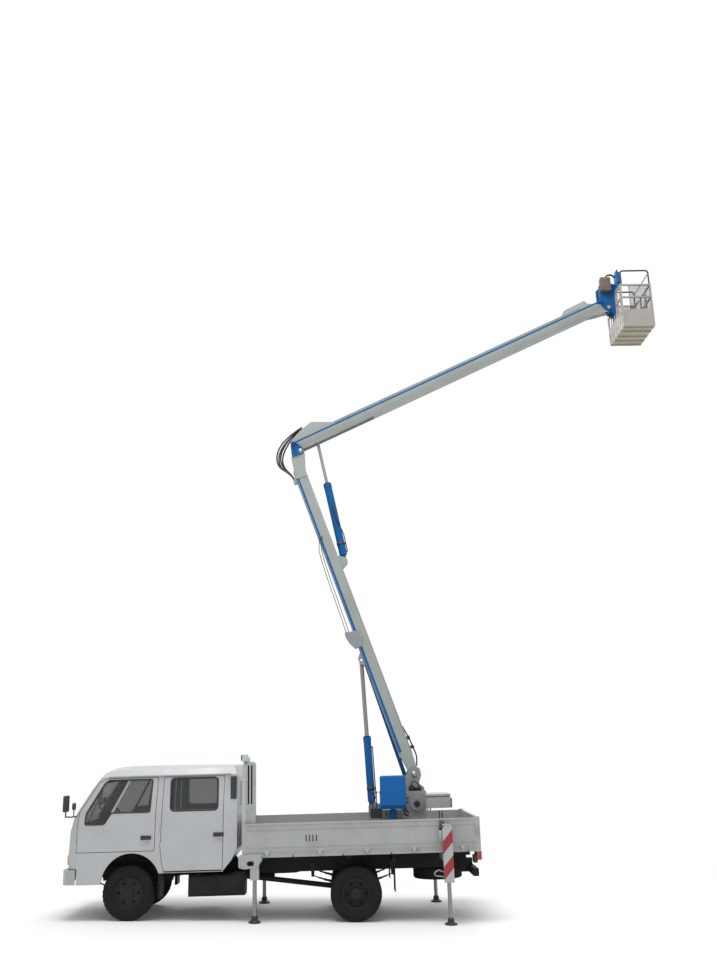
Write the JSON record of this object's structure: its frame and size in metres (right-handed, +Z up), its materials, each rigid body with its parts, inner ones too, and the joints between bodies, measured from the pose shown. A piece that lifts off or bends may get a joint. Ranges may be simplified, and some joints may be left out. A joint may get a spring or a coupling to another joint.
{
  "type": "cherry picker truck",
  "caption": "Double-cab light truck with a slewing two-arm access platform, work basket, open cargo bed and four stabiliser jacks.",
  "frame": {"origin": "on the ground under the middle of the slewing ring", "axes": "+X to the rear of the truck, +Y to the truck's right, +Z up from the ground"},
  "size_m": [9.5115, 2.376, 10.6894],
  "materials": {
    "white_paint": "gloss",
    "boom_paint": "satin",
    "blue_paint": "gloss",
    "grey_paint": "satin",
    "black_paint": "satin",
    "rod_chrome": "polished",
    "tyre_rubber": "matte",
    "wheel_steel": "satin",
    "window_glass": "polished",
    "trim_plastic": "matte",
    "seat_fabric": "woven",
    "lamp_lens": "clear",
    "cast_metal": "rough",
    "board_marking": "striped",
    "hose_rubber": "matte",
    "basket_paint": "satin"
  },
  "bodies": {
    "truck": {"chassis_frame": "black_paint", "power_train": "cast_metal", "front_axle": "cast_metal", "rear_axle": "cast_metal", "leaf_springs": "cast_metal", "side_tanks": "black_paint", "cab_shell": "white_paint", "cab_glass": "window_glass", "cab_interior": "trim_plastic", "cab_seats": "seat_fabric", "front_bumper": "grey_paint", "lamps": "lamp_lens", "mirrors": "trim_plastic", "cargo_bed": "white_paint", "boom_rest": "grey_paint", "spare_wheel": "tyre_rubber", "rear_guards": "trim_plastic", "outrigger_casings": "white_paint", "warning_boards": "board_marking", "pedestal": "grey_paint"},
    "tailgate": {"tailgate": "white_paint"},
    "turret": {"turret": "grey_paint", "operator_seat": "blue_paint", "equipment_box": "white_paint"},
    "lower_boom": {"lower_boom": "boom_paint", "elbow_hoses": "hose_rubber"},
    "lower_cylinder": {"lower_cylinder": "blue_paint"},
    "lower_rod": {"lower_rod": "rod_chrome"},
    "lower_tie_rod": {"lower_tie_rod": "blue_paint"},
    "elbow_plate": {"elbow_plate": "blue_paint"},
    "upper_boom": {"upper_boom": "boom_paint"},
    "upper_cylinder": {"upper_cylinder": "blue_paint"},
    "upper_rod": {"upper_rod": "rod_chrome"},
    "upper_tie_pin": {"upper_tie_pin": "cast_metal"},
    "upper_tie_rod": {"upper_tie_rod": "blue_paint"},
    "basket_pin": {"basket_pin": "cast_metal"},
    "basket": {"basket": "basket_paint"},
    "knuckle_left": {"knuckle_left": "cast_metal"},
    "front_wheel_left": {"front_tyre_left": "tyre_rubber", "front_rim_left": "wheel_steel"},
    "rear_wheels_left": {"rear_tyres_left": "tyre_rubber", "rear_rims_left": "wheel_steel"},
    "door_front_left": {"door_front_left": "white_paint", "glass_front_left": "window_glass"},
    "door_rear_left": {"door_rear_left": "white_paint", "glass_rear_left": "window_glass"},
    "jack_front_left": {"jack_front_left": "rod_chrome"},
    "jack_rear_left": {"jack_rear_left": "rod_chrome"},
    "knuckle_right": {"knuckle_right": "cast_metal"},
    "front_wheel_right": {"front_tyre_right": "tyre_rubber", "front_rim_right": "wheel_steel"},
    "rear_wheels_right": {"rear_tyres_right": "tyre_rubber", "rear_rims_right": "wheel_steel"},
    "door_front_right": {"door_front_right": "white_paint", "glass_front_right": "window_glass"},
    "door_rear_right": {"door_rear_right": "white_paint", "glass_rear_right": "window_glass"},
    "jack_front_right": {"jack_front_right": "rod_chrome"},
    "jack_rear_right": {"jack_rear_right": "rod_chrome"}
  },
  "joints": [
    {"name": "slew", "type": "hinge", "parent": "truck", "child": "turret", "pos_m": [-0.03798, 0, 1.3106], "axis": [-0.029, 0, 0.9996], "continuous": true},
    {"name": "lift", "type": "hinge", "parent": "turret", "child": "lower_boom", "pos_m": [0.38155, 0, 2.02305], "axis": [0, 1, 0], "range_deg": [-61, 8]},
    {"name": "lower_tie_rod", "type": "hinge", "parent": "turret", "child": "lower_tie_rod", "pos_m": [0.26857, 0, 1.95175], "axis": [0, 1, 0], "range_deg": [-61, 8]},
    {"name": "elbow_plate", "type": "hinge", "parent": "lower_boom", "child": "elbow_plate", "pos_m": [-1.50299, 0, 7.33069], "axis": [0, 1, 0], "range_deg": [-8, 61]},
    {"name": "fold", "type": "hinge", "parent": "lower_boom", "child": "upper_boom", "pos_m": [-1.50299, 0, 7.33069], "axis": [0, -1, 0], "range_deg": [-90, 50], "deforming": ["elbow_hoses"]},
    {"name": "upper_tie_pin", "type": "hinge", "parent": "elbow_plate", "child": "upper_tie_pin", "pos_m": [-1.64355, 0, 7.45167], "axis": [0, 1, 0], "range_deg": [-61, 8]},
    {"name": "upper_tie_rod", "type": "hinge", "parent": "upper_tie_pin", "child": "upper_tie_rod", "pos_m": [-1.64355, 0, 7.45167], "axis": [0, -1, 0], "range_deg": [-90, 50]},
    {"name": "basket_pin", "type": "hinge", "parent": "upper_boom", "child": "basket_pin", "pos_m": [4.00692, 0, 10.08504], "axis": [0, 1, 0], "range_deg": [-8, 61]},
    {"name": "basket_level", "type": "hinge", "parent": "basket_pin", "child": "basket", "pos_m": [4.00692, 0, 10.08504], "axis": [0, 1, 0], "range_deg": [-90, 50]},
    {"name": "lower_cylinder", "type": "hinge", "parent": "turret", "child": "lower_cylinder", "pos_m": [-0.27368, 0, 1.50386], "axis": [0, 1, 0], "range_deg": [-58.56, 7.68]},
    {"name": "lower_rod", "type": "slide", "parent": "lower_cylinder", "child": "lower_rod", "axis": [-0.0771, 0, 0.997], "range_m": [-0.84207, 0.1113]},
    {"name": "upper_cylinder", "type": "hinge", "parent": "lower_boom", "child": "upper_cylinder", "pos_m": [-0.72976, 0, 5.43529], "axis": [0, -1, 0], "range_deg": [-2.26, 4.06]},
    {"name": "upper_rod", "type": "slide", "parent": "upper_cylinder", "child": "upper_rod", "axis": [-0.2272, 0, 0.9738], "range_m": [-0.51936, 0.28898]},
    {"name": "tailgate", "type": "hinge", "parent": "truck", "child": "tailgate", "pos_m": [1.26925, 0, 1.04536], "axis": [0, 1, 0], "range_deg": [0, 90]},
    {"name": "steer_left", "type": "hinge", "parent": "truck", "child": "knuckle_left", "pos_m": [-3.84248, -0.64, 0.375], "axis": [-0.029, 0, 0.9996], "range_deg": [-33, 33]},
    {"name": "front_wheel_left", "type": "hinge", "parent": "knuckle_left", "child": "front_wheel_left", "pos_m": [-3.84248, -0.735, 0.375], "axis": [0, 1, 0], "continuous": true},
    {"name": "rear_wheels_left", "type": "hinge", "parent": "truck", "child": "rear_wheels_left", "pos_m": [-0.53448, -0.726, 0.375], "axis": [0, 1, 0], "continuous": true},
    {"name": "door_front_left", "type": "hinge", "parent": "truck", "child": "door_front_left", "pos_m": [-4.61697, -0.888, 0.96781], "axis": [0.029, 0, -0.9996], "range_deg": [0, 65]},
    {"name": "door_rear_left", "type": "hinge", "parent": "truck", "child": "door_rear_left", "pos_m": [-3.40248, -0.896, 1.00301], "axis": [0.029, 0, -0.9996], "range_deg": [0, 65]},
    {"name": "jack_front_left", "type": "slide", "parent": "truck", "child": "jack_front_left", "axis": [-0.029, 0, 0.9996], "range_m": [0, 0.24]},
    {"name": "jack_rear_left", "type": "slide", "parent": "truck", "child": "jack_rear_left", "axis": [-0.029, 0, 0.9996], "range_m": [0, 0.4]},
    {"name": "steer_right", "type": "hinge", "parent": "truck", "child": "knuckle_right", "pos_m": [-3.84248, 0.64, 0.375], "axis": [-0.029, 0, 0.9996], "range_deg": [-33, 33]},
    {"name": "front_wheel_right", "type": "hinge", "parent": "knuckle_right", "child": "front_wheel_right", "pos_m": [-3.84248, 0.735, 0.375], "axis": [0, 1, 0], "continuous": true},
    {"name": "rear_wheels_right", "type": "hinge", "parent": "truck", "child": "rear_wheels_right", "pos_m": [-0.53448, 0.726, 0.375], "axis": [0, 1, 0], "continuous": true},
    {"name": "door_front_right", "type": "hinge", "parent": "truck", "child": "door_front_right", "pos_m": [-4.61697, 0.888, 0.96781], "axis": [-0.029, 0, 0.9996], "range_deg": [0, 65]},
    {"name": "door_rear_right", "type": "hinge", "parent": "truck", "child": "door_rear_right", "pos_m": [-3.40248, 0.896, 1.00301], "axis": [-0.029, 0, 0.9996], "range_deg": [0, 65]},
    {"name": "jack_front_right", "type": "slide", "parent": "truck", "child": "jack_front_right", "axis": [-0.029, 0, 0.9996], "range_m": [0, 0.24]},
    {"name": "jack_rear_right", "type": "slide", "parent": "truck", "child": "jack_rear_right", "axis": [-0.029, 0, 0.9996], "range_m": [0, 0.4]}
  ],
  "couplings": [
    {"joint": "lower_tie_rod", "follows": "lift", "ratio": 1},
    {"joint": "elbow_plate", "follows": "lift", "ratio": -1},
    {"joint": "upper_tie_pin", "follows": "lift", "ratio": 1},
    {"joint": "upper_tie_rod", "follows": "fold", "ratio": 1},
    {"joint": "basket_pin", "follows": "lift", "ratio": -1},
    {"joint": "basket_level", "follows": "fold", "ratio": 1},
    {"joint": "lower_cylinder", "follows": "lift", "ratio": 0.96},
    {"joint": "lower_rod", "follows": "lift", "m_per_rad": 0.79},
    {"joint": "upper_cylinder", "follows": "fold", "ratio": -0.045},
    {"joint": "upper_rod", "follows": "fold", "m_per_rad": 0.33},
    {"joint": "steer_right", "follows": "steer_left", "ratio": 1}
  ]
}
